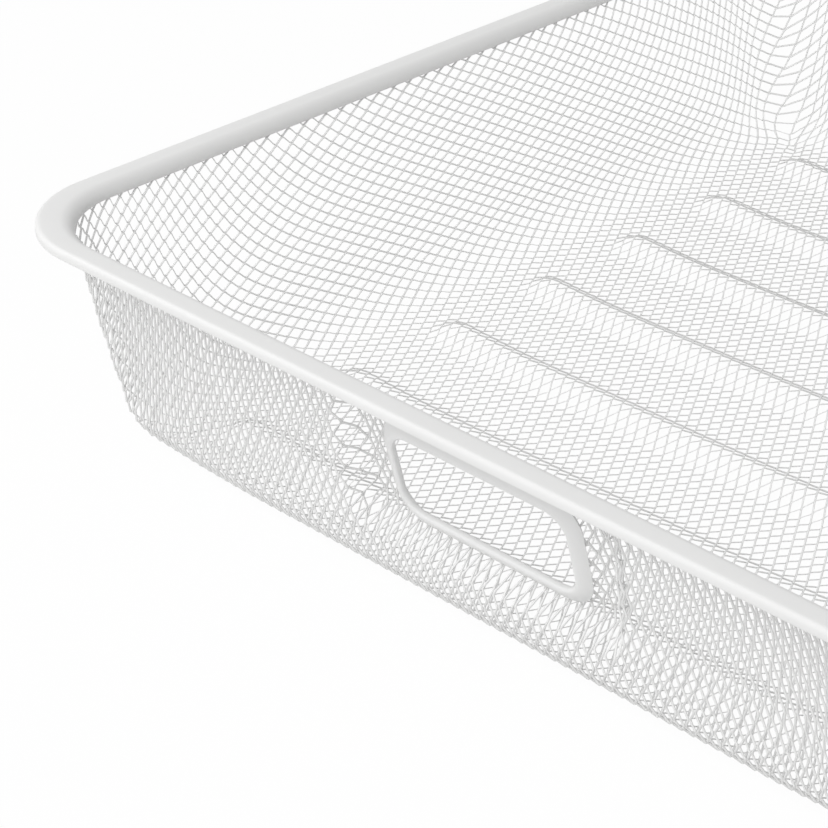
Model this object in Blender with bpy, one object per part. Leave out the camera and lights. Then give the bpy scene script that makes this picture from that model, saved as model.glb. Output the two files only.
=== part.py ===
"""Wardrobe basket: one tray pressed from expanded steel mesh, a rolled steel rim
that hems the tray's top edge, and a folded steel ring that lines the hand hole.

Frame: metres, +Z up, +X to the right along the front, +Y to the back. The origin
is the middle of the underside. The hand hole is in the front wall, at -Y.
"""
import math

import bmesh
import bpy
from mathutils import Matrix, Vector

# Whole basket, over the rim
BASKET_WIDTH = 0.520
BASKET_DEPTH = 0.530
BASKET_HEIGHT = 0.1054

# Gap kept between pieces that touch, and how far a cutter runs past its work
CLEARANCE = 0.0003
OVERRUN = 0.010

# Tray: its sheet, and how far in from the rim's outer edge the flat floor starts. The
# front and back walls stand steeper than the two side walls.
MESH_THICKNESS = 0.0008
SIDE_FLOOR_INSET = 0.0549
END_FLOOR_INSET = 0.0470
FLOOR_FILLET = 0.0185
FLOOR_CORNER = 0.010
WALL_FOOT_CORNER = 0.021
MESH_EDGE_DROP = 0.0038

# How the wall's corners widen on the way up: mostly evenly, then fast under the rim
CORNER_STEADY_SHARE = 0.62
CORNER_FLARE_POWER = 6

# Ribs pressed up out of the floor, side to side
RIB_COUNT = 7
RIB_WIDTH = 0.029
RIB_HEIGHT = 0.0050
RIB_SIDE_MARGIN = 0.0106
RIB_END_MARGIN = 0.0100

# Plain grid of openings that stands for the mesh: at most 12 across a side
GRID_FLOOR_COLUMNS = 12
GRID_WALL_COLUMNS = 12
GRID_WALL_ROWS = 2
GRID_POCKET_COLUMNS = 4
GRID_BAR = 0.0070
GRID_RIB_MARGIN = 0.0010
GRID_OVERRUN = 0.012

# Rim: a sheet turned down at the outside and rolled down at the inside
RIM_SHEET = 0.0008
RIM_WIDTH = 0.0135
RIM_CORNER = 0.048
RIM_INNER_CORNER = 0.042
RIM_OUTER_DROP = 0.0045
RIM_OUTER_ROUND = 0.0022
RIM_INNER_DROP = 0.0063
RIM_INNER_ROUND = 0.0053

# Hand hole in the front wall, measured inside its ring
HANDLE_WIDTH = 0.0892
HANDLE_HEIGHT = 0.0391
HANDLE_CORNER = 0.0098

# The hole and its ring lean back further than the wall, behind its surface
HANDLE_SET_BACK = 0.0044
HANDLE_LEAN_BACK = math.radians(4)

# Ring: a strip folded round the hole's edge, with its depths behind the hole's plane
RING_SHEET = 0.0006
RING_SIDE_WIDTH = 0.0065
RING_END_WIDTH = 0.0081
RING_CREST_DEPTH = 0.0020
RING_CREST_ROUND = 0.0009
RING_FACE_FALL = 0.0031
RING_FACE_POWER = 1.5
RING_BACK_DEPTH = 0.0048
RING_BACK_WIDTH = 0.0040

# Pocket that the front wall steps back into round the ring, behind the hole's plane
RECESS_DEPTH = 0.0081
RECESS_CORNER = 0.015
RECESS_SIDE_MARGIN = 0.0171
RECESS_SIDE_SLOPE = 0.0042
RECESS_END_MARGIN = 0.0051
RECESS_END_SLOPE = 0.0006
RECESS_RIM_GAP = 0.0081
RECESS_OVERRUN = 0.020

# Flange round the hole, pressed forward from the pocket's floor into the ring
FLANGE_EDGE_DEPTH = 0.0035
FLANGE_MARGIN = 0.0015

# Segment counts
CORNER_STEPS = 9
FILLET_STEPS = 6
WALL_STEPS = 7
ROLL_STEPS = 5
RIB_STEPS = 5
RIB_END_STEPS = 6
HANDLE_CORNER_STEPS = 6
CREST_STEPS = 2
FACE_STEPS = 4

POWDER_COAT_COLOUR = (0.86, 0.86, 0.85, 1.0)
POWDER_COAT_ROUGHNESS = 0.42
MESH_COAT_COLOUR = (0.80, 0.80, 0.79, 1.0)
MESH_COAT_ROUGHNESS = 0.48
SMOOTH_ANGLE = math.radians(32)


def clear_scene():
    for obj in list(bpy.data.objects):
        bpy.data.objects.remove(obj, do_unlink=True)


def new_collection(name):
    collection = bpy.data.collections.new(name)
    bpy.context.scene.collection.children.link(collection)
    return collection


def rounded_outline(half_x, half_y, radius, steps):
    """Points of a rounded rectangle, counter-clockwise from above."""
    points = []
    for quarter, (side_x, side_y) in enumerate(((1, 1), (-1, 1), (-1, -1), (1, -1))):
        centre_x = side_x * (half_x - radius)
        centre_y = side_y * (half_y - radius)
        for step in range(steps + 1):
            angle = math.pi / 2 * (quarter + step / steps)
            points.append((centre_x + radius * math.cos(angle), centre_y + radius * math.sin(angle)))
    return points


def round_ended_outline(half_length, half_width, steps):
    """Points of a bar with half-round ends, counter-clockwise from above."""
    points = []
    for side in (1, -1):
        for step in range(steps + 1):
            angle = math.pi * (step / steps - 1 / 2)
            across = half_width * math.sin(angle)
            along = half_length + half_width * math.cos(angle)
            points.append((side * along, side * across))
    return points


def offset_path(path, distance):
    """A section's path moved to the right of its run, with mitred bends."""
    points = [Vector(point) for point in path]
    moved = []
    for index, point in enumerate(points):
        runs = []
        if index > 0:
            runs.append((point - points[index - 1]).normalized())
        if index < len(points) - 1:
            runs.append((points[index + 1] - point).normalized())
        middle = sum(runs, Vector((0.0, 0.0))).normalized()
        right = Vector((middle.y, -middle.x))
        moved.append(point + right * distance / middle.dot(runs[0]))
    return [(point.x, point.y) for point in moved]


def sheet_section(path, thickness):
    """Closed section of a sheet that follows a path, to the right of its run."""
    return list(path) + offset_path(path, thickness)[::-1]


def skin(shape, loops, closed_section=False):
    """Faces between a row of unlike outlines. Ends are capped, or met in a closed section."""
    rows = [[shape.verts.new(point) for point in loop] for loop in loops]
    pairs = list(zip(rows, rows[1:]))
    if closed_section:
        pairs.append((rows[-1], rows[0]))
    else:
        shape.faces.new(reversed(rows[0]))
        shape.faces.new(rows[-1])
    for lower, upper in pairs:
        count = len(lower)
        for index in range(count):
            after = (index + 1) % count
            shape.faces.new((lower[index], lower[after], upper[after], upper[index]))


def finish_shape(name, collection, shape):
    """Turn a built shape's faces outwards and give it an object."""
    mesh = bpy.data.meshes.new(name)
    bmesh.ops.recalc_face_normals(shape, faces=shape.faces)
    shape.to_mesh(mesh)
    shape.free()
    obj = bpy.data.objects.new(name, mesh)
    collection.objects.link(obj)
    return obj


def loft(name, collection, loops, closed_section=False):
    shape = bmesh.new()
    skin(shape, loops, closed_section)
    return finish_shape(name, collection, shape)


def make_cutter(obj):
    obj.hide_render = True
    obj.display_type = "WIRE"


def cut(obj, cutter):
    modifier = obj.modifiers.new("cut_" + cutter.name, "BOOLEAN")
    modifier.operation = "DIFFERENCE"
    modifier.solver = "EXACT"
    modifier.object = cutter


def shade(obj):
    obj.data.shade_smooth()
    obj.data.set_sharp_from_angle(angle=SMOOTH_ANGLE)


def principled(name, colour, roughness):
    material = bpy.data.materials.new(name)
    material.use_nodes = True
    shader = material.node_tree.nodes["Principled BSDF"]
    shader.inputs["Base Color"].default_value = colour
    shader.inputs["Roughness"].default_value = roughness
    shader.inputs["Metallic"].default_value = 0.0
    material.diffuse_color = colour
    return material


def mesh_coat():
    return principled("mesh_powder_coat", MESH_COAT_COLOUR, MESH_COAT_ROUGHNESS)


def rim_coat():
    return principled("rim_powder_coat", POWDER_COAT_COLOUR, POWDER_COAT_ROUGHNESS)


def ring_coat():
    return principled("ring_powder_coat", POWDER_COAT_COLOUR, POWDER_COAT_ROUGHNESS)


def plan_loop(side_inset, end_inset, height, corner):
    """The basket's rounded plan, that far in from the rim's outer edge."""
    outline = rounded_outline(
        BASKET_WIDTH / 2 - side_inset, BASKET_DEPTH / 2 - end_inset, corner, CORNER_STEPS
    )
    return [(x, y, height) for x, y in outline]


def rim_corner_at(inset):
    """Corner radius of the rim that far in: its flange is widest at the corners."""
    return RIM_CORNER - (RIM_CORNER - RIM_INNER_CORNER) * inset / RIM_WIDTH


def lip_height():
    return BASKET_HEIGHT - RIM_INNER_DROP


def wall_top_inset():
    """Inset of the sheet's middle where it goes up behind the rim's inner lip."""
    return RIM_WIDTH - RIM_SHEET - CLEARANCE - MESH_THICKNESS / 2


def wall_draft(floor_inset):
    """Angle of a wall: tangent to the floor fillet, and passing behind the lip."""
    reach = floor_inset - wall_top_inset()
    rise = lip_height() - MESH_THICKNESS / 2 - FLOOR_FILLET
    return math.acos(FLOOR_FILLET / math.hypot(reach, rise)) - math.atan2(rise, reach)


def wall_foot(floor_inset):
    """Height of the sheet's middle where the floor's fillet ends and a wall starts."""
    return MESH_THICKNESS / 2 + FLOOR_FILLET * (1 - math.sin(wall_draft(floor_inset)))


def sheet_inset(height, floor_inset):
    """Inset of the sheet's middle at a height, on the fillet or on the straight wall."""
    if height > wall_foot(floor_inset):
        return wall_top_inset() + (lip_height() - height) * math.tan(wall_draft(floor_inset))
    rise = max(0.0, height - MESH_THICKNESS / 2)
    return floor_inset - math.sqrt(rise * (2 * FLOOR_FILLET - rise))


def wall_corner(height):
    """Corner radius of the wall at a height."""
    foot = wall_foot(END_FLOOR_INSET)
    share = min(1.0, (height - foot) / (lip_height() - foot))
    flare = (1 - CORNER_STEADY_SHARE) * share ** CORNER_FLARE_POWER
    growth = rim_corner_at(wall_top_inset()) - WALL_FOOT_CORNER
    return WALL_FOOT_CORNER + growth * (CORNER_STEADY_SHARE * share + flare)


def tray_levels():
    """The sheet's middle from the floor out and up: height and corner radius."""
    floor = MESH_THICKNESS / 2
    turn = math.pi / 2 - wall_draft(END_FLOOR_INSET)
    levels = []
    for step in range(FILLET_STEPS + 1):
        share = step / FILLET_STEPS
        height = floor + FLOOR_FILLET * (1 - math.cos(share * turn))
        corner = FLOOR_CORNER + (WALL_FOOT_CORNER - FLOOR_CORNER) * math.sin(share * math.pi / 2)
        levels.append((height, corner))
    foot = wall_foot(END_FLOOR_INSET)
    rise = lip_height() - foot
    heights = [foot + rise * step / WALL_STEPS for step in range(1, WALL_STEPS + 1)]
    heights.append(BASKET_HEIGHT - MESH_EDGE_DROP)
    levels.extend((height, wall_corner(height)) for height in heights)
    return levels


def sheet_path(levels, floor_inset, distance):
    """A wall's section, from inside the floor's edge, moved towards the inside."""
    path = [(floor_inset + FLOOR_FILLET, MESH_THICKNESS / 2)]
    path.extend((sheet_inset(height, floor_inset), height) for height, _ in levels)
    return offset_path(path, distance)


def tray_skin(distance):
    """The tray's plan loops, moved from the sheet's middle towards the inside."""
    levels = tray_levels()
    sides = sheet_path(levels, SIDE_FLOOR_INSET, distance)
    ends = sheet_path(levels, END_FLOOR_INSET, distance)
    corners = [FLOOR_CORNER]
    for (height, corner), (inset, _) in zip(levels, sides[1:]):
        corners.append(corner + sheet_inset(height, SIDE_FLOOR_INSET) - inset)
    return [
        plan_loop(side_inset, end_inset, height, corner)
        for (side_inset, height), (end_inset, _), corner in zip(sides, ends, corners)
    ]


def rib_centres():
    """Where the ribs lie along the basket's depth, front to back."""
    outermost = BASKET_DEPTH / 2 - END_FLOOR_INSET - RIB_END_MARGIN - RIB_WIDTH / 2
    return [outermost * (2 * index / (RIB_COUNT - 1) - 1) for index in range(RIB_COUNT)]


def rib_cutter(name, collection, distance):
    """Every rib from below up to its skin, moved from the sheet's middle upwards."""
    half_length = BASKET_WIDTH / 2 - SIDE_FLOOR_INSET - RIB_SIDE_MARGIN - RIB_WIDTH / 2
    path = []
    for step in range(RIB_STEPS):
        share = (step + 1 / 2) / RIB_STEPS
        rise = RIB_HEIGHT / 2 * (1 - math.cos(math.pi * share))
        path.append((RIB_WIDTH / 2 * (1 - share), MESH_THICKNESS / 2 + rise))
    path = offset_path(path, distance)
    path.insert(0, (path[0][0], -OVERRUN))
    shape = bmesh.new()
    for centre in rib_centres():
        loops = []
        for half_width, height in path:
            outline = round_ended_outline(half_length, half_width, RIB_END_STEPS)
            loops.append([(x, y + centre, height) for x, y in outline])
        skin(shape, loops)
    cutter = finish_shape(name, collection, shape)
    make_cutter(cutter)
    return cutter


def wall_matrix(height, quarter):
    """Frame on a wall's sheet, quarter turns from the front: X right, Y up it, Z out."""
    ends = (BASKET_DEPTH, END_FLOOR_INSET)
    sides = (BASKET_WIDTH, SIDE_FLOOR_INSET)
    span, floor_inset = (ends, sides)[quarter % 2]
    place = Matrix.Translation((0.0, sheet_inset(height, floor_inset) - span / 2, height))
    lean = Matrix.Rotation(math.pi / 2 + wall_draft(floor_inset), 4, "X")
    return Matrix.Rotation(quarter * math.pi / 2, 4, "Z") @ place @ lean


def handle_matrix():
    """Frame on the hand hole's middle, set back from the front wall and leaning back."""
    above = RECESS_RIM_GAP + RECESS_END_SLOPE + RECESS_END_MARGIN + RING_END_WIDTH
    down = (above + HANDLE_HEIGHT / 2) * math.cos(wall_draft(END_FLOOR_INSET))
    set_back = Matrix.Translation((0.0, 0.0, -HANDLE_SET_BACK))
    lean = Matrix.Rotation(HANDLE_LEAN_BACK, 4, "X")
    return wall_matrix(lip_height() - down, 0) @ set_back @ lean


def pocket_foot_drop():
    """How far the pocket's lower edge lies below the hand hole's middle."""
    return HANDLE_HEIGHT / 2 + RING_END_WIDTH + RECESS_END_MARGIN + RECESS_END_SLOPE


def pocket_half_width():
    """Half the pocket's width in the wall, where its lower end cuts deepest."""
    before = HANDLE_SET_BACK + pocket_foot_drop() * math.tan(HANDLE_LEAN_BACK)
    slope = RECESS_SIDE_SLOPE * (1 + before / RECESS_DEPTH)
    return HANDLE_WIDTH / 2 + RING_SIDE_WIDTH + RECESS_SIDE_MARGIN + slope


def handle_loop(side, end, corner, out):
    """An outline round the hand hole, grown at its sides and at its two long edges."""
    outline = rounded_outline(
        HANDLE_WIDTH / 2 + side, HANDLE_HEIGHT / 2 + end, corner, HANDLE_CORNER_STEPS
    )
    return [(x, y, out) for x, y in outline]


def hole_margin():
    """How far the sheet's edge stays out from the ring's inside."""
    return RING_SHEET + CLEARANCE


def flange_slope():
    """Depth that the flange round the hole gains for each unit outwards."""
    run = RING_SIDE_WIDTH + FLANGE_MARGIN - hole_margin()
    return (RECESS_DEPTH - FLANGE_EDGE_DEPTH) / run


def pocket_path(ring_width, margin, slope):
    """The pocket's section from the flange's edge out to the wall, run on past both."""
    foot = ring_width + FLANGE_MARGIN
    floor_edge = ring_width + margin
    start = FLANGE_EDGE_DEPTH - hole_margin() * flange_slope()
    past = slope * RECESS_OVERRUN / RECESS_DEPTH
    return [
        (0.0, -start),
        (foot, -RECESS_DEPTH),
        (floor_edge, -RECESS_DEPTH),
        (floor_edge + slope + past, RECESS_OVERRUN),
    ]


def pocket_cutter(name, collection, distance):
    """The pocket as a solid, moved from the sheet's middle towards the inside."""
    side_path = pocket_path(RING_SIDE_WIDTH, RECESS_SIDE_MARGIN, RECESS_SIDE_SLOPE)
    end_path = pocket_path(RING_END_WIDTH, RECESS_END_MARGIN, RECESS_END_SLOPE)
    corners = (HANDLE_CORNER, HANDLE_CORNER + RING_SIDE_WIDTH, RECESS_CORNER, RECESS_CORNER)
    side_moved = offset_path(side_path, distance)
    end_moved = offset_path(end_path, distance)
    loops = []
    for before, side, end, corner in zip(side_path, side_moved, end_moved, corners):
        loops.append(handle_loop(side[0], end[0], corner + side[0] - before[0], side[1]))
    cutter = loft(name, collection, loops)
    cutter.matrix_world = handle_matrix()
    make_cutter(cutter)
    return cutter


def hand_hole_cutter(collection):
    """The hole through the flange, clear of the ring's throat."""
    grow = hole_margin()
    back = -RECESS_DEPTH - OVERRUN
    loops = [handle_loop(grow, grow, HANDLE_CORNER + grow, out) for out in (back, OVERRUN)]
    cutter = loft("cut_hand_hole", collection, loops)
    cutter.matrix_world = handle_matrix()
    make_cutter(cutter)
    return cutter


def opening(shape, matrix, outline):
    """One opening's cutter: its outline in a frame on the sheet, run through it."""
    loops = []
    for out in (-GRID_OVERRUN, GRID_OVERRUN):
        loops.append([matrix @ Vector((x, y, out)) for x, y in outline])
    skin(shape, loops)


def opening_row(shape, matrix, start, end, count, height):
    """A row of like openings with a bar between each two, side by side in a frame."""
    pitch = (end - start) / count
    for index in range(count):
        left = start + pitch * index + GRID_BAR / 2
        right = left + pitch - GRID_BAR
        low, high = GRID_BAR / 2 - height / 2, height / 2 - GRID_BAR / 2
        opening(shape, matrix, [(left, low), (right, low), (right, high), (left, high)])


def floor_openings(shape):
    """A row of openings in each flat strip between the ribs and beyond the outermost."""
    half_width = BASKET_WIDTH / 2 - SIDE_FLOOR_INSET
    half_depth = BASKET_DEPTH / 2 - END_FLOOR_INSET
    beside_rib = RIB_WIDTH / 2 + GRID_RIB_MARGIN - GRID_BAR / 2
    starts = [-half_depth] + [centre + beside_rib for centre in rib_centres()]
    ends = [centre - beside_rib for centre in rib_centres()] + [half_depth]
    for start, end in zip(starts, ends):
        frame = Matrix.Translation((0.0, (start + end) / 2, MESH_THICKNESS / 2))
        opening_row(shape, frame, -half_width, half_width, GRID_FLOOR_COLUMNS, end - start)


def corner_opening(shape, low, high, quarter):
    """One opening across a corner, as wide at each height as the corner's bend."""
    middle = (low + high) / 2
    side = 1 if quarter % 2 else -1
    bend = wall_corner(middle)
    draft = (wall_draft(SIDE_FLOOR_INSET) + wall_draft(END_FLOOR_INSET)) / 2
    centre_x = side * (BASKET_WIDTH / 2 - sheet_inset(middle, SIDE_FLOOR_INSET) - bend)
    centre_y = bend + sheet_inset(middle, END_FLOOR_INSET) - BASKET_DEPTH / 2
    diagonal = Vector((side, -1.0, 0.0)).normalized() * bend * math.cos(math.pi / 8)
    place = Matrix.Translation(Vector((centre_x, centre_y, middle)) + diagonal)
    turn = Matrix.Rotation(side * math.pi / 4, 4, "Z")
    lean = Matrix.Rotation(math.pi / 2 + draft, 4, "X")
    around = Matrix.Rotation(math.pi * (quarter // 2), 4, "Z")
    rise = (high - low) / 2 / math.cos(draft) - GRID_BAR / 2
    foot, top = [
        wall_corner(middle + step * rise) * math.sin(math.pi / 4) - GRID_BAR / 2
        for step in (-1, 1)
    ]
    outline = [(-foot, -rise), (foot, -rise), (top, rise), (-top, rise)]
    opening(shape, around @ place @ turn @ lean, outline)


def wall_openings(shape):
    """Rows of openings up each wall and corner, clear of the pocket in the front."""
    foot = wall_foot(END_FLOOR_INSET)
    row_rise = (lip_height() - foot) / GRID_WALL_ROWS
    end_of_row = wall_top_inset() + rim_corner_at(wall_top_inset())
    beside = (GRID_WALL_COLUMNS - GRID_POCKET_COLUMNS) // 2
    for row in range(GRID_WALL_ROWS):
        low = foot + row_rise * row
        for quarter in range(4):
            frame = wall_matrix(low + row_rise / 2, quarter)
            half = (BASKET_WIDTH, BASKET_DEPTH)[quarter % 2] / 2 - end_of_row
            if quarter:
                opening_row(shape, frame, -half, half, GRID_WALL_COLUMNS, row_rise)
            else:
                opening_row(shape, frame, -half, -pocket_half_width(), beside, row_rise)
                opening_row(shape, frame, pocket_half_width(), half, beside, row_rise)
            corner_opening(shape, low, low + row_rise, quarter)


def under_pocket_openings(shape):
    """A low row of openings in the front wall under the pocket."""
    edge = handle_matrix() @ Vector((0.0, -pocket_foot_drop(), 0.0))
    foot = wall_foot(END_FLOOR_INSET)
    frame = wall_matrix((foot + edge.z) / 2, 0)
    half = pocket_half_width()
    opening_row(shape, frame, -half, half, GRID_POCKET_COLUMNS, edge.z - foot)


def grid_cutter(collection):
    """Every opening of the grid, as one cutter."""
    shape = bmesh.new()
    floor_openings(shape)
    wall_openings(shape)
    under_pocket_openings(shape)
    cutter = finish_shape("cut_grid", collection, shape)
    make_cutter(cutter)
    return cutter


def make_tray(parts, cutters):
    """The pressed sheet: an outer body less an inner one, with ribs, pocket and hole."""
    half_sheet = MESH_THICKNESS / 2
    tray = loft("mesh_tray", parts, tray_skin(-half_sheet))
    inside_loops = tray_skin(half_sheet)
    inside_loops.append([(x, y, z + OVERRUN) for x, y, z in inside_loops[-1]])
    inside = loft("cut_tray_inside", cutters, inside_loops)
    make_cutter(inside)
    cut(inside, pocket_cutter("cut_pocket_inside", cutters, half_sheet))
    cut(inside, rib_cutter("cut_ribs_inside", cutters, half_sheet))
    cut(tray, pocket_cutter("cut_pocket_outside", cutters, -half_sheet))
    cut(tray, rib_cutter("cut_ribs_outside", cutters, -half_sheet))
    cut(tray, inside)
    cut(tray, hand_hole_cutter(cutters))
    cut(tray, grid_cutter(cutters))
    tray.data.materials.append(mesh_coat())
    shade(tray)
    return tray


def rim_path():
    """The rim's outer face from the skirt over the top to the lip: inset and height."""
    outer = RIM_OUTER_ROUND
    inner = RIM_INNER_ROUND
    path = [(0.0, BASKET_HEIGHT - RIM_OUTER_DROP)]
    for step in range(ROLL_STEPS + 1):
        angle = math.pi / 2 * step / ROLL_STEPS
        inset = outer * (1 - math.cos(angle))
        path.append((inset, BASKET_HEIGHT - outer * (1 - math.sin(angle))))
    for step in range(ROLL_STEPS + 1):
        angle = math.pi / 2 * step / ROLL_STEPS
        inset = RIM_WIDTH - inner * (1 - math.sin(angle))
        path.append((inset, BASKET_HEIGHT - inner * (1 - math.cos(angle))))
    path.append((RIM_WIDTH, lip_height()))
    return path


def make_rim(parts):
    """The rolled rim, carried round the four corners."""
    section = sheet_section(rim_path(), RIM_SHEET)
    loops = [
        plan_loop(inset, inset, height, rim_corner_at(inset)) for inset, height in section
    ]
    rim = loft("rim", parts, loops, closed_section=True)
    rim.data.materials.append(rim_coat())
    shade(rim)
    return rim


def ring_path():
    """The ring's strip from behind the flange, up the throat and out over the face."""
    bend = RING_CREST_ROUND
    back = RING_BACK_DEPTH + RING_BACK_WIDTH * flange_slope()
    path = [(RING_BACK_WIDTH, -back), (0.0, -RING_BACK_DEPTH)]
    for step in range(CREST_STEPS + 1):
        angle = math.pi / 2 * step / CREST_STEPS
        depth = RING_CREST_DEPTH + bend * (1 - math.sin(angle))
        path.append((bend * (1 - math.cos(angle)), -depth))
    for step in range(1, FACE_STEPS + 1):
        share = step / FACE_STEPS
        depth = RING_CREST_DEPTH + RING_FACE_FALL * share ** RING_FACE_POWER
        path.append((bend + (RING_SIDE_WIDTH - bend) * share, -depth))
    return path


def make_ring(parts):
    """The ring: a sloped front face, a throat through the hole, and a back face."""
    widening = RING_END_WIDTH / RING_SIDE_WIDTH
    loops = [
        handle_loop(out, out * widening, HANDLE_CORNER + out, height)
        for out, height in sheet_section(ring_path(), RING_SHEET)
    ]
    ring = loft("handle_ring", parts, loops, closed_section=True)
    ring.matrix_world = handle_matrix()
    ring.data.materials.append(ring_coat())
    shade(ring)
    return ring


def build():
    clear_scene()
    parts = new_collection("mesh_basket")
    cutters = new_collection("mesh_basket_cutters")
    make_tray(parts, cutters)
    make_rim(parts)
    make_ring(parts)


build()
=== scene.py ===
import math

import bpy
import numpy as np
from mathutils import Matrix, Vector


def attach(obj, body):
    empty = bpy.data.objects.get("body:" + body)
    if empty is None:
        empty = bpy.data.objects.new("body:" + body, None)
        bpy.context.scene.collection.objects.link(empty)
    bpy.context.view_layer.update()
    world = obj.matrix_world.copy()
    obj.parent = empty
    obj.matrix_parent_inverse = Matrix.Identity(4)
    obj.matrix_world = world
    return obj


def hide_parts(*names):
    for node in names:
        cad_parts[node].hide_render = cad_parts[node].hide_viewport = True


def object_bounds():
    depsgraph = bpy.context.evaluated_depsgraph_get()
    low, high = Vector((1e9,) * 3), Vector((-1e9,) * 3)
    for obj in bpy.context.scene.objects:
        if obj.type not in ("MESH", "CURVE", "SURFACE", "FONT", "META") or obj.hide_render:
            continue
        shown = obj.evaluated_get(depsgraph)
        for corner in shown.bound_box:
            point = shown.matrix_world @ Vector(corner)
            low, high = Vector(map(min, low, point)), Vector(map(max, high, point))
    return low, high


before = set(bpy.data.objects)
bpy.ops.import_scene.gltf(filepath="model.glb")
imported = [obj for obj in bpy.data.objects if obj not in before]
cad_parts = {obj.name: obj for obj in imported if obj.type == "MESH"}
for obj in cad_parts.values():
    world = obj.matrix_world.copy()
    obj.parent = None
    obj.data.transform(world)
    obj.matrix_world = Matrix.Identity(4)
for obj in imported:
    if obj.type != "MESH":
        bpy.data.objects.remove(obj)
bpy.ops.object.select_all(action="DESELECT")
cad_low, cad_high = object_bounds()


# The camera looks down past the basket's right front corner at its left one, through
# a long lens, as the photograph does. Lens, place and angles come from a fit to the
# rim, the floor and the ribs.
CAMERA_PLACE = (0.5840, -0.8642, 0.5936)
CAMERA_TILT = math.radians(60.18)
CAMERA_TURN = math.radians(44.70)
CAMERA_LENS = 117.13
CAMERA_SENSOR = 36
CAMERA_NEAREST = 0.05

bpy.ops.object.camera_add(location=CAMERA_PLACE, rotation=(CAMERA_TILT, 0, CAMERA_TURN))
camera = bpy.context.object
camera.data.lens = CAMERA_LENS
camera.data.sensor_width = CAMERA_SENSOR
camera.data.clip_start = CAMERA_NEAREST
bpy.context.scene.camera = camera


# The tray is one sheet of expanded steel mesh: thin sheet is slit and pulled open
# into a net of strands that stay joined in pairs, then pressed into floor, ribs, walls
# and pocket. Its top edge goes up inside the rim's fold.
BASKET_WIDTH = cad_high.x - cad_low.x
BASKET_DEPTH = cad_high.y - cad_low.y
BASKET_HEIGHT = cad_high.z
MESH_MIDDLE = 0.0006
EDGE_DROP = 0.0038
EDGE_SPARE = 0.006
FILLET_POINTS = 25
WALL_POINTS = 90

# Side walls, from the floor's edge up: the floor's distance in from the rim, the bend,
# the lean, and how far the top is tucked out under the rim. The floor rises to them.
SIDE_FLOOR_INSET = 0.0572
SIDE_FILLET = 0.022
SIDE_SLOPE = 0.283
SIDE_TUCK = 0.0016
SIDE_FLOOR_RISE = 0.0035
SIDE_RISE_START = 0.127
SIDE_RISE_POWER = 1.8
RISE_FADE = 0.060

# Front and back walls, which are steeper.
END_FLOOR_INSET = 0.0470
END_FILLET = 0.0185
END_SLOPE = 0.170
END_TUCK = 0.0026
TUCK_START = 0.0185
TUCK_END = 0.0065

# Corner radii in plan, which grow evenly up most of the wall and faster at its top.
FLOOR_CORNER = 0.010
WALL_FOOT_CORNER = 0.021
WALL_TOP_CORNER = 0.0427
CORNER_STEADY_SHARE = 0.62
CORNER_TOP_POWER = 6

# The mesh as it is before pressing: the openings' two ways, and the strands' section,
# their bonds, how far they stand out of the sheet's plane and how softly they bend.
MESH_SHORT_WAY = 0.00566
MESH_LONG_WAY = 0.01006
MESH_SHIFT = -0.0029
STRAND_WIDTH = 0.00088
STRAND_THICKNESS = 0.00034
BOND_LENGTH = 0.0007
STRAND_LEAN = math.radians(40)
STRAND_BEND = 0.12
BOND_PULL = 0.3

# How pressing draws the mesh: the floor creeps out to the side walls, the walls are
# stretched, and near a corner the rows climb and the columns are squeezed together.
WALL_STRETCH = 1.005
FLOOR_CREEP = 0.0038
FLOOR_CREEP_START = 0.125
CORNER_PULL = 1.08
CORNER_PULL_MIDDLE = -0.80
CORNER_PULL_WIDTH = 0.55
CORNER_SQUEEZE = 0.43
CORNER_SQUEEZE_START = -0.75
CORNER_SQUEEZE_WIDTH = 0.30
CORNER_REACH = 0.025
CORNER_SEAM_POWER = 6
LEAST_SHARE = 0.001
LARGEST_TURN = 20

RIB_COUNT = 7
RIB_PITCH = 0.0645
RIB_HALF_WIDTH = 0.0145
RIB_HEIGHT = 0.0046
RIB_HALF_LENGTH = 0.1800

# The hand hole, on its own sloping plane, with the pocket pressed round it and the
# flange at its edge, which stands forward from the pocket's bottom.
HANDLE_HALF_WIDTH = 0.0446
HANDLE_HALF_HEIGHT = 0.01955
HANDLE_CORNER = 0.0098
HANDLE_INSET = 0.0245
HANDLE_MIDDLE = 0.0594
HANDLE_SLOPE = 0.2756
POCKET_DEPTH = 0.0081
POCKET_CORNER = 0.015
POCKET_HALF_WIDTH = 0.0724
POCKET_HALF_HEIGHT = 0.0337
POCKET_STEP = 0.0052
FLANGE_FOOT = 0.0085
FLANGE_EDGE_DEPTH = 0.0035
HOLE_MARGIN = 0.0009

SLOPE_STEP = 0.00025
EDGE_SEARCHES = 14
LEAST_STUB = 0.12
TINY = 0.000001
FAR_AWAY = 1.0
MESH_PIECES = (
    "mesh_left_wall", "mesh_left", "mesh_middle_left",
    "mesh_middle_right", "mesh_right", "mesh_right_wall",
)
# The mesh's colour is the white coat made lighter than the ring's: painted light, making up for
# shade among the strands.
MESH_COLOUR_WITH_PAINTED_LIGHT = (0.87, 0.87, 0.865, 1)
MESH_ROUGHNESS = 0.48
MESH_PEEL_SCALE = 2200
MESH_PEEL_DEPTH = 0.00001

floor_half_x = BASKET_WIDTH / 2 - SIDE_FLOOR_INSET
floor_half_y = BASKET_DEPTH / 2 - END_FLOOR_INSET
edge_height = BASKET_HEIGHT - EDGE_DROP


def smooth(share):
    share = np.clip(share, 0, 1)
    return share * share * (3 - 2 * share)


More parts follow.
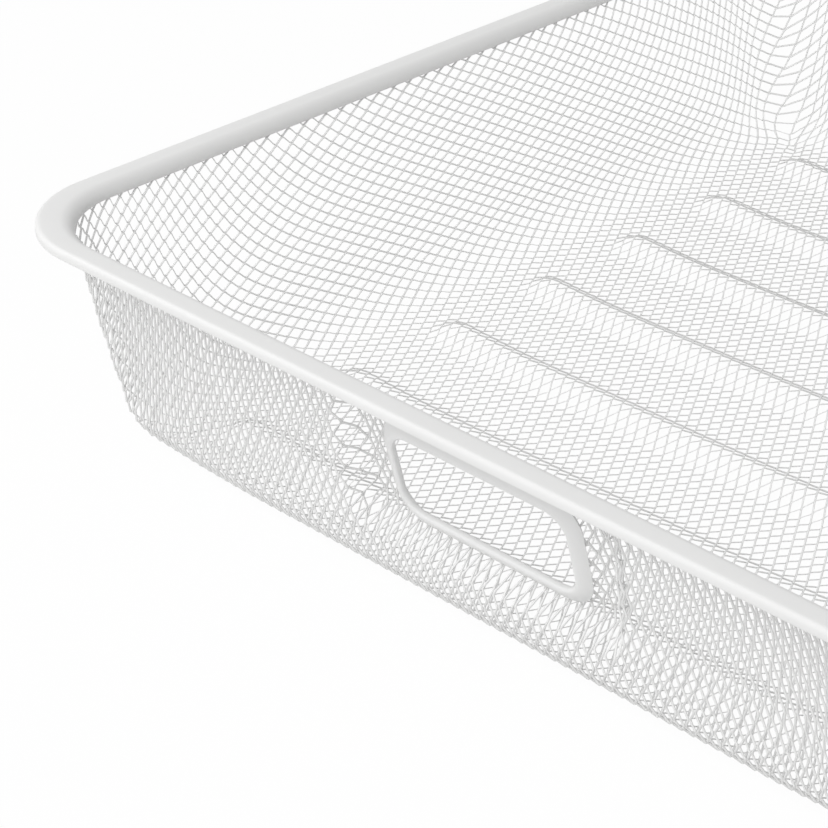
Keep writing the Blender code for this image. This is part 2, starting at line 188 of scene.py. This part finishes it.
def wall_section(floor_inset, floor_level, fillet, slope, tuck_out):
    """Run, inset and height of the sheet's middle up one wall, from the floor's edge."""
    lean = math.atan(slope)
    angle = np.linspace(0, math.pi / 2 - lean, FILLET_POINTS)
    inset = floor_inset - fillet * np.sin(angle)
    height = floor_level + fillet * (1 - np.cos(angle))
    wall_height = np.linspace(height[-1], edge_height + EDGE_SPARE, WALL_POINTS)[1:]
    tuck = smooth((wall_height - BASKET_HEIGHT + TUCK_START) / (TUCK_START - TUCK_END))
    wall_inset = inset[-1] - slope * (wall_height - height[-1]) - tuck_out * tuck
    inset = np.concatenate([inset, wall_inset])
    height = np.concatenate([height, wall_height])
    run = np.concatenate([[0], np.cumsum(np.hypot(np.diff(inset), np.diff(height)))])
    return run, inset, height


side_section = wall_section(
    SIDE_FLOOR_INSET, MESH_MIDDLE + SIDE_FLOOR_RISE, SIDE_FILLET, SIDE_SLOPE, SIDE_TUCK
)
end_section = wall_section(END_FLOOR_INSET, MESH_MIDDLE, END_FILLET, END_SLOPE, END_TUCK)
wall_foot = end_section[2][FILLET_POINTS - 1]
edge_run = np.interp(edge_height, side_section[2], side_section[0])


def corner_radius(height):
    """Plan radius of the tray's corner at a height."""
    low = np.clip((height - MESH_MIDDLE) / (wall_foot - MESH_MIDDLE), 0, 1)
    high = np.clip((height - wall_foot) / (BASKET_HEIGHT - TUCK_END - wall_foot), 0, 1)
    foot = FLOOR_CORNER + (WALL_FOOT_CORNER - FLOOR_CORNER) * (1 - (1 - low) ** 2)
    growth = CORNER_STEADY_SHARE * high + (1 - CORNER_STEADY_SHARE) * high ** CORNER_TOP_POWER
    return foot + (WALL_TOP_CORNER - WALL_FOOT_CORNER) * growth


def floor_rise(x):
    """How far the floor is drawn up at a distance from the middle, near the side walls."""
    inset = BASKET_WIDTH / 2 - x
    share = np.clip((SIDE_RISE_START - inset) / (SIDE_RISE_START - SIDE_FLOOR_INSET), 0, 1)
    return SIDE_FLOOR_RISE * share ** SIDE_RISE_POWER


def wall_plan(run, rise, side_share):
    """Half width, half depth, corner radius and height of the tray after a run up its wall."""
    fade = 1 - smooth(run / RISE_FADE)
    side_height = np.interp(run, side_section[0], side_section[2])
    side_height = side_height - (SIDE_FLOOR_RISE - rise) * fade
    end_height = np.interp(run, end_section[0], end_section[2]) + rise * fade
    height = side_share * side_height + (1 - side_share) * end_height
    half_x = BASKET_WIDTH / 2 - np.interp(run, side_section[0], side_section[1])
    half_y = BASKET_DEPTH / 2 - np.interp(run, end_section[0], end_section[1])
    return half_x, half_y, corner_radius(height), height


def corner_run(up, turn):
    """Run up the wall from a mark's distance up the flat sheet; turn is 1 at the corner."""
    pull = CORNER_PULL / (1 + np.exp((CORNER_PULL_MIDDLE - turn) / CORNER_PULL_WIDTH))
    return up * WALL_STRETCH * np.hypot(1, pull)


def corner_squeeze(turn):
    """How far a column is drawn back along the wall for each step up the flat sheet."""
    steep = (turn - CORNER_SQUEEZE_START) / CORNER_SQUEEZE_WIDTH
    return CORNER_SQUEEZE * CORNER_SQUEEZE_WIDTH * np.log1p(np.exp(steep))


def pressed_plan(flat_x, flat_y):
    """Places on the pressed tray, before ribs and pocket, of marks on the flat sheet."""
    creep_width = floor_half_x + FLOOR_CREEP - FLOOR_CREEP_START
    creep = FLOOR_CREEP * smooth((np.abs(flat_x) - FLOOR_CREEP_START) / creep_width)
    flat_x = np.sign(flat_x) * (np.abs(flat_x) - creep)
    out_x = np.abs(flat_x) - floor_half_x
    out_y = np.abs(flat_y) - floor_half_y
    on_side = out_x >= out_y
    reach = np.maximum(out_x, out_y)
    beside = np.minimum(out_x, out_y)

    # Close to a corner, the floor's marks fan out to meet those of the wall.
    share = np.clip(1 + reach / CORNER_REACH, LEAST_SHARE, 1)
    near_corner = (reach < 0) & (beside > -CORNER_REACH)
    beside = np.where(near_corner, (beside + CORNER_REACH) / share - CORNER_REACH, beside)
    up = np.maximum(reach, 0)
    turn = np.clip(beside / (up + TINY), -LARGEST_TURN, 1)
    nearness = np.clip((beside + CORNER_REACH) / (up + CORNER_REACH), 0, 1)

    # Marks on both sides of a corner's diagonal meet at the middle of its arc.
    seam_x, seam_y, seam_radius, _ = wall_plan(corner_run(up, 1), SIDE_FLOOR_RISE, 0.5)
    floor_half = np.where(on_side, floor_half_y, floor_half_x)
    seam_mark = np.where(on_side, seam_y, seam_x) - (1 - math.pi / 4) * seam_radius
    spare = seam_mark - floor_half - up * (1 - corner_squeeze(1))
    mark = floor_half + beside - up * corner_squeeze(turn) + spare * nearness ** CORNER_SEAM_POWER

    rise = np.where(on_side, SIDE_FLOOR_RISE, floor_rise(mark))
    side_share = np.where(on_side, 1 - 0.5 * nearness ** 2, 0.5 * nearness ** 2)
    half_x, half_y, radius, height = wall_plan(corner_run(up, turn), rise, side_share)
    straight = np.where(on_side, half_y, half_x) - radius
    angle = np.maximum(mark - straight, 0) / radius
    along = np.minimum(mark, straight) + radius * np.sin(angle)
    across = np.where(on_side, half_x, half_y) - radius * (1 - np.cos(angle))
    x = np.where(on_side, across, along)
    y = np.where(on_side, along, across)

    square_x = np.where(on_side, floor_half_x, floor_half_x + beside)
    square_y = np.where(on_side, floor_half_y + beside, floor_half_y)
    fade = share ** 2 * near_corner
    on_floor = reach < 0
    x = np.where(on_floor, np.abs(flat_x) + (x - square_x) * fade, x)
    y = np.where(on_floor, np.abs(flat_y) + (y - square_y) * fade, y)
    height = np.where(on_floor, MESH_MIDDLE + floor_rise(x), height)
    return np.stack([x * np.sign(flat_x), y * np.sign(flat_y), height], axis=-1)


def outline_distance(x, y, half_x, half_y, corner):
    """Distance out from a rounded rectangle round the middle: below zero inside it."""
    from_x = np.abs(x) - half_x + corner
    from_y = np.abs(y) - half_y + corner
    outside = np.hypot(np.maximum(from_x, 0), np.maximum(from_y, 0))
    return outside + np.minimum(np.maximum(from_x, from_y), 0) - corner


handle_up = Vector((0, -HANDLE_SLOPE, 1)).normalized()
handle_out = Vector((0, -1, -HANDLE_SLOPE)).normalized()
handle_place = Vector((0, HANDLE_INSET - BASKET_DEPTH / 2, HANDLE_MIDDLE))


def on_front(place):
    """Across, up and out from the hand hole's middle, in the plane of its ring."""
    from_middle = place - np.array(handle_place)
    return place[..., 0], from_middle @ np.array(handle_up), from_middle @ np.array(handle_out)


def hole_distance(place):
    """Distance of places in the front wall from the hand hole's edge."""
    x, up, _ = on_front(place)
    distance = outline_distance(x, up, HANDLE_HALF_WIDTH, HANDLE_HALF_HEIGHT, HANDLE_CORNER)
    return np.where(place[..., 1] < -floor_half_y, distance, FAR_AWAY)


def pressed(flat):
    """Flat sheet to finished tray: places, heights on the walls, and distance to the hole."""
    place = pressed_plan(flat[..., 0], flat[..., 1])
    height = place[..., 2].copy()
    rib = np.rint(np.clip(place[..., 1] / RIB_PITCH, -(RIB_COUNT // 2), RIB_COUNT // 2))
    off_end = np.maximum(np.abs(place[..., 0]) - RIB_HALF_LENGTH, 0)
    off_rib = np.hypot(off_end, place[..., 1] - rib * RIB_PITCH)
    rise = (1 + np.cos(math.pi * np.clip(off_rib / RIB_HALF_WIDTH, 0, 1))) / 2
    place[..., 2] += RIB_HEIGHT * rise

    hole = hole_distance(place)
    x, up, out = on_front(place)
    pocket = outline_distance(x, up, POCKET_HALF_WIDTH, POCKET_HALF_HEIGHT, POCKET_CORNER)
    depth = out + POCKET_DEPTH
    step = POCKET_STEP * np.maximum(depth, POCKET_DEPTH) / POCKET_DEPTH
    push = depth * smooth(-pocket / step)
    lift = 1 - np.clip((hole - HOLE_MARGIN) / (FLANGE_FOOT - HOLE_MARGIN), 0, 1)
    push = push - (POCKET_DEPTH - FLANGE_EDGE_DEPTH) * lift
    push = np.where(place[..., 1] < -floor_half_y, push, 0)
    place = place - push[..., None] * np.array(handle_out)
    return place, height, hole


def is_sheet(height, hole):
    """Whether places lie below the sheet's top edge and clear of the hand hole."""
    return (height < edge_height) & (hole > HOLE_MARGIN)


def unit(vectors):
    return vectors / np.linalg.norm(vectors, axis=-1, keepdims=True)


def sheet_frame(flat):
    """At each mark: place, the unit vectors along the strands, across them and inward, and
    whether there is sheet."""
    place, height, hole = pressed(flat)
    east = pressed(flat + [SLOPE_STEP, 0])[0] - pressed(flat - [SLOPE_STEP, 0])[0]
    north = pressed(flat + [0, SLOPE_STEP])[0] - pressed(flat - [0, SLOPE_STEP])[0]
    inward = unit(np.cross(east, north))
    long_way = unit(north)
    wide_way = np.cross(long_way, inward)
    return place, long_way, wide_way, inward, is_sheet(height, hole)


def strand_rings(centre, heading, wide):
    """Four corners of the strand's cross-section at each point, square to its heading."""
    heading = unit(heading)
    wide = unit(wide - np.sum(wide * heading, axis=-1, keepdims=True) * heading)
    thick = np.cross(heading, wide) * STRAND_THICKNESS / 2
    wide = wide * STRAND_WIDTH / 2
    corners = [centre + wide + thick, centre - wide + thick]
    corners += [centre - wide - thick, centre + wide - thick]
    return np.stack(corners, axis=-2)


def cut_end(flat_good, flat_bad, anchor, other):
    """Where a strand from anchor to other ends if the sheet's edge lies between them."""
    low = np.zeros(len(flat_good))
    high = np.ones(len(flat_good))
    for _ in range(EDGE_SEARCHES):
        middle = (low + high) / 2
        _, height, hole = pressed(flat_good + (flat_bad - flat_good) * middle[:, None])
        inside = is_sheet(height, hole)
        low = np.where(inside, middle, low)
        high = np.where(inside, high, middle)
    return anchor + (other - anchor) * np.clip(low, LEAST_STUB, 1)[:, None]


class StrandMesh:
    """Vertices and quads of strands, built from rings of four corners."""

    def __init__(self):
        self.points = []
        self.faces = []
        self.count = 0

    def add(self, rings):
        """Stores rings and gives back their corners' numbers."""
        numbers = self.count + np.arange(rings.size // 3).reshape(-1, 4)
        self.points.append(rings.reshape(-1, 3))
        self.count += numbers.size
        return numbers

    def join(self, ones, twos):
        """Four quads from each ring to the next one along its strand."""
        for corner in range(4):
            following = (corner + 1) % 4
            quads = [ones[:, corner], ones[:, following], twos[:, following], twos[:, corner]]
            self.faces.append(np.stack(quads, axis=-1))

    def cap(self, rings):
        self.faces.append(rings)


def make_strands(first_row, last_row):
    """Zigzag strands first_row to last_row as vertices and quads, with capped ends."""
    marks = int((floor_half_y + edge_run) / (MESH_LONG_WAY / 2)) + 2
    rows = np.arange(first_row, last_row + 1)[:, None]
    columns = np.arange(-marks, marks + 1)[None, :]
    upper = (rows + columns) % 2
    flat_x = (rows + upper) * MESH_SHORT_WAY / 2
    flat_y = columns * MESH_LONG_WAY / 2 + MESH_SHIFT + 0 * flat_x
    flat = np.stack([flat_x, flat_y], axis=-1)
    place, long_way, wide_way, inward, kept = sheet_frame(flat)

    # A bond joins two strands side by side, and each is drawn as its own half.
    lean = wide_way * math.cos(STRAND_LEAN) + inward * math.sin(STRAND_LEAN)
    side = np.where(upper == 1, -1, 1)[..., None]
    centre = place + side * lean * STRAND_WIDTH / 2
    start = centre - long_way * BOND_LENGTH / 2
    end = centre + long_way * BOND_LENGTH / 2

    before = (slice(None), slice(None, -1))
    after = (slice(None), slice(1, None))
    leave = end[before]
    arrive = start[after]
    ahead = arrive - leave
    straight = unit(ahead)
    bend = STRAND_BEND * np.linalg.norm(ahead, axis=-1, keepdims=True)
    first_bend = leave + bend * (straight + BOND_PULL * (long_way[before] - straight))
    second_bend = arrive - bend * (straight + BOND_PULL * (long_way[after] - straight))

    start_heading = long_way.copy()
    end_heading = long_way.copy()
    start_heading[after] += unit(arrive - second_bend)
    end_heading[before] += unit(first_bend - leave)
    first_lean = (4 * lean[before] + lean[after]) / 5
    second_lean = (lean[before] + 4 * lean[after]) / 5
    start_rings = strand_rings(start, start_heading, lean)
    end_rings = strand_rings(end, end_heading, lean)
    first_rings = strand_rings(first_bend, unit(first_bend - leave) + straight, first_lean)
    second_rings = strand_rings(second_bend, unit(arrive - second_bend) + straight, second_lean)

    strands = StrandMesh()
    start_numbers = np.full(kept.shape + (4,), -1)
    end_numbers = np.full(kept.shape + (4,), -1)
    start_numbers[kept] = strands.add(start_rings[kept])
    end_numbers[kept] = strands.add(end_rings[kept])
    strands.join(start_numbers[kept], end_numbers[kept])

    whole = kept[before] & kept[after]
    first_numbers = strands.add(first_rings[whole])
    second_numbers = strands.add(second_rings[whole])
    strands.join(end_numbers[before][whole], first_numbers)
    strands.join(first_numbers, second_numbers)
    strands.join(second_numbers, start_numbers[after][whole])

    # Strands that the sheet's edge cuts: those that run out over it, and those that run in.
    out = kept[before] & ~kept[after]
    out_end = cut_end(flat[before][out], flat[after][out], leave[out], arrive[out])
    out_numbers = strands.add(strand_rings(out_end, ahead[out], lean[before][out]))
    into = ~kept[before] & kept[after]
    into_end = cut_end(flat[after][into], flat[before][into], arrive[into], leave[into])
    into_numbers = strands.add(strand_rings(into_end, ahead[into], lean[after][into]))
    strands.join(end_numbers[before][out], out_numbers)
    strands.join(into_numbers, start_numbers[after][into])
    strands.cap(out_numbers)
    strands.cap(into_numbers[:, ::-1])
    return np.concatenate(strands.points), np.concatenate(strands.faces)


def add_mesh_piece(name, points, faces):
    mesh = bpy.data.meshes.new(name)
    mesh.from_pydata(points, [], faces.tolist())
    mesh.update()
    mesh.shade_smooth()
    piece = bpy.data.objects.new(name, mesh)
    bpy.context.collection.objects.link(piece)
    return piece


# The steel is powder coated: a smooth satin skin, baked on, with a faint orange peel. The
# mesh, the rim and the ring wear the same white coat. The mesh's colour is set lighter and the
# rim's darker than the ring's as painted light and shade, not as a real difference in the coat.
COAT_SPECULAR = 0.45
COAT_UNEVENNESS = 0.03
COAT_DULLING = 0.18
COAT_CLOUD_SCALE = 26


def powder_coat_group():
    group = bpy.data.node_groups.new("powder_coat", "ShaderNodeTree")
    for label, kind, value in (
        ("Colour", "NodeSocketColor", (0.8, 0.8, 0.8, 1)),
        ("Unevenness", "NodeSocketFloat", 0.02),
        ("Roughness", "NodeSocketFloat", 0.4),
        ("Peel Scale", "NodeSocketFloat", 900.0),
        ("Peel Depth", "NodeSocketFloat", 0.00002),
    ):
        socket = group.interface.new_socket(name=label, in_out="INPUT", socket_type=kind)
        socket.default_value = value
    group.interface.new_socket(name="Colour", in_out="OUTPUT", socket_type="NodeSocketColor")
    group.interface.new_socket(name="Roughness", in_out="OUTPUT", socket_type="NodeSocketFloat")
    group.interface.new_socket(name="Normal", in_out="OUTPUT", socket_type="NodeSocketVector")
    nodes, links = group.nodes, group.links
    given = nodes.new("NodeGroupInput")
    made = nodes.new("NodeGroupOutput")
    place = nodes.new("ShaderNodeTexCoord")

    cloud = nodes.new("ShaderNodeTexNoise")
    cloud.inputs["Scale"].default_value = COAT_CLOUD_SCALE
    cloud.inputs["Detail"].default_value = 3
    links.new(place.outputs["Object"], cloud.inputs["Vector"])
    centred = nodes.new("ShaderNodeMath")
    centred.operation = "SUBTRACT"
    centred.inputs[1].default_value = 0.5
    links.new(cloud.outputs["Fac"], centred.inputs[0])
    shade = nodes.new("ShaderNodeMath")
    shade.operation = "MULTIPLY_ADD"
    shade.inputs[2].default_value = 1
    links.new(centred.outputs[0], shade.inputs[0])
    links.new(given.outputs["Unevenness"], shade.inputs[1])
    tint = nodes.new("ShaderNodeMix")
    tint.data_type = "RGBA"
    tint.blend_type = "MULTIPLY"
    tint.inputs["Factor"].default_value = 1
    links.new(given.outputs["Colour"], tint.inputs["A"])
    links.new(shade.outputs[0], tint.inputs["B"])
    links.new(tint.outputs["Result"], made.inputs["Colour"])

    dull = nodes.new("ShaderNodeMath")
    dull.operation = "MULTIPLY_ADD"
    dull.inputs[1].default_value = COAT_DULLING
    links.new(centred.outputs[0], dull.inputs[0])
    links.new(given.outputs["Roughness"], dull.inputs[2])
    links.new(dull.outputs[0], made.inputs["Roughness"])

    peel = nodes.new("ShaderNodeTexNoise")
    peel.inputs["Detail"].default_value = 2
    links.new(place.outputs["Object"], peel.inputs["Vector"])
    links.new(given.outputs["Peel Scale"], peel.inputs["Scale"])
    bump = nodes.new("ShaderNodeBump")
    bump.inputs["Strength"].default_value = 1
    links.new(peel.outputs["Fac"], bump.inputs["Height"])
    links.new(given.outputs["Peel Depth"], bump.inputs["Distance"])
    links.new(bump.outputs["Normal"], made.inputs["Normal"])
    return group


powder_coat = powder_coat_group()


def coated_steel(name, colour, roughness, peel_scale, peel_depth):
    """Steel in the powder coat, with its own colour, gloss and orange peel."""
    material = bpy.data.materials.new(name)
    material.use_nodes = True
    nodes, links = material.node_tree.nodes, material.node_tree.links
    shader = nodes["Principled BSDF"]
    shader.inputs["Specular IOR Level"].default_value = COAT_SPECULAR
    coat = nodes.new("ShaderNodeGroup")
    coat.node_tree = powder_coat
    coat.inputs["Colour"].default_value = colour
    coat.inputs["Unevenness"].default_value = COAT_UNEVENNESS
    coat.inputs["Roughness"].default_value = roughness
    coat.inputs["Peel Scale"].default_value = peel_scale
    coat.inputs["Peel Depth"].default_value = peel_depth
    links.new(coat.outputs["Colour"], shader.inputs["Base Color"])
    links.new(coat.outputs["Roughness"], shader.inputs["Roughness"])
    links.new(coat.outputs["Normal"], shader.inputs["Normal"])
    return material


# The sheet is shown in six bands, side by side from left to right, because one piece
# with all its strands would be too heavy. No strand is cut where two bands meet.
mesh_coat = coated_steel(
    "mesh_powder_coat", MESH_COLOUR_WITH_PAINTED_LIGHT, MESH_ROUGHNESS, MESH_PEEL_SCALE, MESH_PEEL_DEPTH
)
last_row = int((floor_half_x + FLOOR_CREEP + edge_run) / (MESH_SHORT_WAY / 2)) + 1
band_edges = np.linspace(-last_row - 1, last_row + 1, len(MESH_PIECES) + 1)
band_starts = band_edges.round().astype(int)
for name, first, following in zip(MESH_PIECES, band_starts, band_starts[1:]):
    piece = add_mesh_piece(name, *make_strands(first, following - 1))
    piece.data.materials.append(mesh_coat)
    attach(piece, "root")
    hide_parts("mesh_tray")


# The rim is sheet steel folded over the mesh's top edge: a skirt turned down outside,
# a flat top, and a broad lip rolled down inside, with a wider flange at the corners.
RIM_SHEET = 0.0008
RIM_WIDTH = 0.0135
RIM_CORNER = 0.048
RIM_INNER_CORNER = 0.042
RIM_SKIRT = 0.0045
RIM_SKIRT_ROUND = 0.0022
RIM_LIP = 0.0063
RIM_LIP_ROUND = 0.0053
RIM_EDGE_POINTS = 6
RIM_SKIRT_POINTS = 9
RIM_LIP_POINTS = 13
RIM_CORNER_POINTS = 29
# The rim's colour is the white coat made darker than the ring's: painted shade, toning down the
# light on the rim's top.
RIM_COLOUR_WITH_PAINTED_SHADE = (0.82, 0.82, 0.815, 1)
RIM_ROUGHNESS = 0.42
FOLD_PEEL_SCALE = 900
FOLD_PEEL_DEPTH = 0.00002
FOLD_SMOOTH_ANGLE = math.radians(50)
SEAM_WIDTH = 0.000001


def arc(middle, radius, first, last, count):
    """Points along an arc between two angles, which are counted in quarter turns."""
    angles = np.linspace(first, last, count) * math.pi / 2
    return list(zip(middle[0] + radius * np.cos(angles), middle[1] + radius * np.sin(angles)))


def round_outline(half_x, half_y, corner, count):
    """Points round a rounded rectangle, the same number at every size."""
    points = []
    for quarter, (side_x, side_y) in enumerate(((1, 1), (-1, 1), (-1, -1), (1, -1))):
        middle = (side_x * (half_x - corner), side_y * (half_y - corner))
        points += arc(middle, corner, quarter, quarter + 1, count)
    return points + points[:1]


def fold_round(name, outlines):
    """A closed fold of sheet: a grid laid out along a list of outlines and closed on itself."""
    outlines = np.array(outlines + outlines[:1])
    rounds, around = outlines.shape[:2]
    bpy.ops.object.select_all(action="DESELECT")
    bpy.ops.mesh.primitive_grid_add(
        x_subdivisions=around - 1, y_subdivisions=rounds - 1, size=1, location=(0, 0, 0)
    )
    piece = bpy.context.object
    piece.name = name
    piece.data.name = name
    for vert in piece.data.vertices:
        column = round((vert.co.x + 1 / 2) * (around - 1))
        row = round((vert.co.y + 1 / 2) * (rounds - 1))
        vert.co = outlines[row, column]
    bpy.ops.object.mode_set(mode="EDIT")
    bpy.ops.mesh.select_all(action="SELECT")
    bpy.ops.mesh.remove_doubles(threshold=SEAM_WIDTH)
    bpy.ops.mesh.normals_make_consistent(inside=False)
    bpy.ops.object.mode_set(mode="OBJECT")
    bpy.ops.object.shade_smooth_by_angle(angle=FOLD_SMOOTH_ANGLE)
    return piece


def rim_section():
    """The folded sheet's closed section: inset from the outer edge, and height."""
    edge = RIM_SHEET / 2
    skirt_edge = (edge, edge - RIM_SKIRT)
    skirt_bend = (RIM_SKIRT_ROUND, -RIM_SKIRT_ROUND)
    lip_bend = (RIM_WIDTH - RIM_LIP_ROUND, -RIM_LIP_ROUND)
    lip_edge = (RIM_WIDTH - edge, edge - RIM_LIP)
    return (
        arc(skirt_edge, edge, 4, 2, RIM_EDGE_POINTS)[1:-1]
        + [(0, edge - RIM_SKIRT)]
        + arc(skirt_bend, RIM_SKIRT_ROUND, 2, 1, RIM_SKIRT_POINTS)
        + arc(lip_bend, RIM_LIP_ROUND, 1, 0, RIM_LIP_POINTS)
        + arc(lip_edge, edge, 0, -2, RIM_EDGE_POINTS)
        + arc(lip_bend, RIM_LIP_ROUND - RIM_SHEET, 0, 1, RIM_LIP_POINTS)
        + arc(skirt_bend, RIM_SKIRT_ROUND - RIM_SHEET, 1, 2, RIM_SKIRT_POINTS)
        + [(RIM_SHEET, edge - RIM_SKIRT)]
    )


rim_outlines = []
for inset, drop in rim_section():
    corner = RIM_CORNER - (RIM_CORNER - RIM_INNER_CORNER) * inset / RIM_WIDTH
    around = round_outline(
        BASKET_WIDTH / 2 - inset, BASKET_DEPTH / 2 - inset, corner, RIM_CORNER_POINTS
    )
    rim_outlines.append([(x, y, BASKET_HEIGHT + drop) for x, y in around])
rim_piece = fold_round("rim_fold", rim_outlines)
rim_coat = coated_steel(
    "rim_powder_coat", RIM_COLOUR_WITH_PAINTED_SHADE, RIM_ROUGHNESS, FOLD_PEEL_SCALE, FOLD_PEEL_DEPTH
)
rim_piece.data.materials.append(rim_coat)
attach(rim_piece, "root")
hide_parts("rim")


# The ring lines the hand hole: a strip of sheet steel folded over the mesh's cut edge,
# with a crest round the hole and a face that slopes back outwards into the pocket.
RING_SHEET = 0.0006
RING_SIDE = 0.0065
RING_END = 0.0081
RING_CREST = 0.0020
RING_CREST_ROUND = 0.0011
RING_FALL = 0.0031
RING_FALL_POWER = 1.6
RING_BACK_DEPTH = 0.0048
RING_BACK = 0.0040
RING_FLANGE_ROOM = 0.0015
RING_THROAT_RADIUS = 0.0005
RING_CREST_POINTS = 6
RING_FACE_POINTS = 9
RING_CORNER_POINTS = 15
RING_COLOUR = (0.86, 0.86, 0.855, 1)
RING_ROUGHNESS = 0.40


def ring_section():
    """The strip's closed section: out from the hole's edge, and height on the wall."""
    slope = (POCKET_DEPTH - FLANGE_EDGE_DEPTH) / (RING_SIDE + RING_FLANGE_ROOM - HOLE_MARGIN)
    chamfer = RING_THROAT_RADIUS / 5
    crest_middle = (RING_CREST_ROUND, -RING_CREST - RING_CREST_ROUND)
    path = [
        (RING_BACK, -RING_BACK_DEPTH - RING_BACK * slope),
        (RING_THROAT_RADIUS - chamfer, -RING_BACK_DEPTH - chamfer),
        (0, -RING_BACK_DEPTH + RING_THROAT_RADIUS),
    ]
    path += arc(crest_middle, RING_CREST_ROUND, 2, 1, RING_CREST_POINTS)
    for share in np.linspace(0, 1, RING_FACE_POINTS)[1:]:
        out = RING_CREST_ROUND + (RING_SIDE - RING_CREST_ROUND) * share
        path.append((out, -RING_CREST - RING_FALL * share ** RING_FALL_POWER))
    path = np.array(path)
    heading = unit(np.gradient(path, axis=0))
    right = np.stack([heading[:, 1], -heading[:, 0]], axis=-1)
    return np.concatenate([path, (path + right * RING_SHEET)[::-1]])


end_widening = RING_END / RING_SIDE
ring_outlines = []
for out, rise in ring_section():
    around = round_outline(
        HANDLE_HALF_WIDTH + out, HANDLE_HALF_HEIGHT + out * end_widening,
        HANDLE_CORNER + out, RING_CORNER_POINTS,
    )
    ring_outlines.append([(x, y, rise) for x, y in around])
ring_piece = fold_round("handle_ring_fold", ring_outlines)
wall_turn = Matrix.Rotation(math.pi / 2 + math.atan(HANDLE_SLOPE), 4, "X")
ring_piece.data.transform(Matrix.Translation(handle_place) @ wall_turn)
ring_coat = coated_steel(
    "ring_powder_coat", RING_COLOUR, RING_ROUGHNESS, FOLD_PEEL_SCALE, FOLD_PEEL_DEPTH
)
ring_piece.data.materials.append(ring_coat)
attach(ring_piece, "root")
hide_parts("handle_ring")


# A plain white floor. The camera sees it as white paper, with the basket's shadow left
# faintly on it.
PAPER_SIZE = 14
PAPER_COLOUR = (0.92, 0.92, 0.92, 1)
PAPER_ROUGHNESS = 0.9
PAPER_SPECULAR = 0.1
PAPER_GLOW_SHARE = 0.96
WHITE = (1, 1, 1, 1)

bpy.ops.mesh.primitive_plane_add(size=PAPER_SIZE, location=(0, 0, 0))
paper_floor = bpy.context.object
paper_floor.name = "paper_floor"
paper = bpy.data.materials.new("white_paper")
paper.use_nodes = True
nodes, links = paper.node_tree.nodes, paper.node_tree.links
paper_shader = nodes["Principled BSDF"]
paper_shader.inputs["Base Color"].default_value = PAPER_COLOUR
paper_shader.inputs["Roughness"].default_value = PAPER_ROUGHNESS
paper_shader.inputs["Specular IOR Level"].default_value = PAPER_SPECULAR
glow = nodes.new("ShaderNodeEmission")
glow.inputs["Color"].default_value = WHITE
glow.inputs["Strength"].default_value = 1
seen = nodes.new("ShaderNodeLightPath")
amount = nodes.new("ShaderNodeMath")
amount.operation = "MULTIPLY"
amount.inputs[1].default_value = PAPER_GLOW_SHARE
links.new(seen.outputs["Is Camera Ray"], amount.inputs[0])
mixed = nodes.new("ShaderNodeMixShader")
links.new(amount.outputs[0], mixed.inputs["Fac"])
links.new(paper_shader.outputs["BSDF"], mixed.inputs[1])
links.new(glow.outputs["Emission"], mixed.inputs[2])
links.new(mixed.outputs["Shader"], nodes["Material Output"].inputs["Surface"])
paper_floor.data.materials.append(paper)


# Soft studio light: an even white room, a broad light over the front, and a weaker
# one from the left.
ROOM_STRENGTH = 0.44
LIGHTS_AIM = Vector((0, 0, 0.05))

world = bpy.data.worlds.new("studio")
bpy.context.scene.world = world
world.use_nodes = True
nodes, links = world.node_tree.nodes, world.node_tree.links
room = nodes["Background"]
room.inputs["Color"].default_value = WHITE
room.inputs["Strength"].default_value = ROOM_STRENGTH
white = nodes.new("ShaderNodeBackground")
white.inputs["Color"].default_value = WHITE
white.inputs["Strength"].default_value = 1
seen = nodes.new("ShaderNodeLightPath")
either = nodes.new("ShaderNodeMath")
either.operation = "MAXIMUM"
links.new(seen.outputs["Is Camera Ray"], either.inputs[0])
links.new(seen.outputs["Is Glossy Ray"], either.inputs[1])
mixed = nodes.new("ShaderNodeMixShader")
links.new(either.outputs[0], mixed.inputs["Fac"])
links.new(room.outputs["Background"], mixed.inputs[1])
links.new(white.outputs["Background"], mixed.inputs[2])
links.new(mixed.outputs["Shader"], nodes["World Output"].inputs["Surface"])

for name, place, size, power in (
    ("front_light", (0.3, -1.95, 2.2), 1.8, 39),
    ("left_light", (-1.7, -1.1, 1.4), 1.4, 12),
):
    turn = (LIGHTS_AIM - Vector(place)).to_track_quat("-Z", "Y").to_euler()
    bpy.ops.object.light_add(type="AREA", location=place, rotation=turn)
    lamp = bpy.context.object
    lamp.name = name
    lamp.data.size = size
    lamp.data.energy = power

bpy.context.scene.view_settings.view_transform = "Standard"
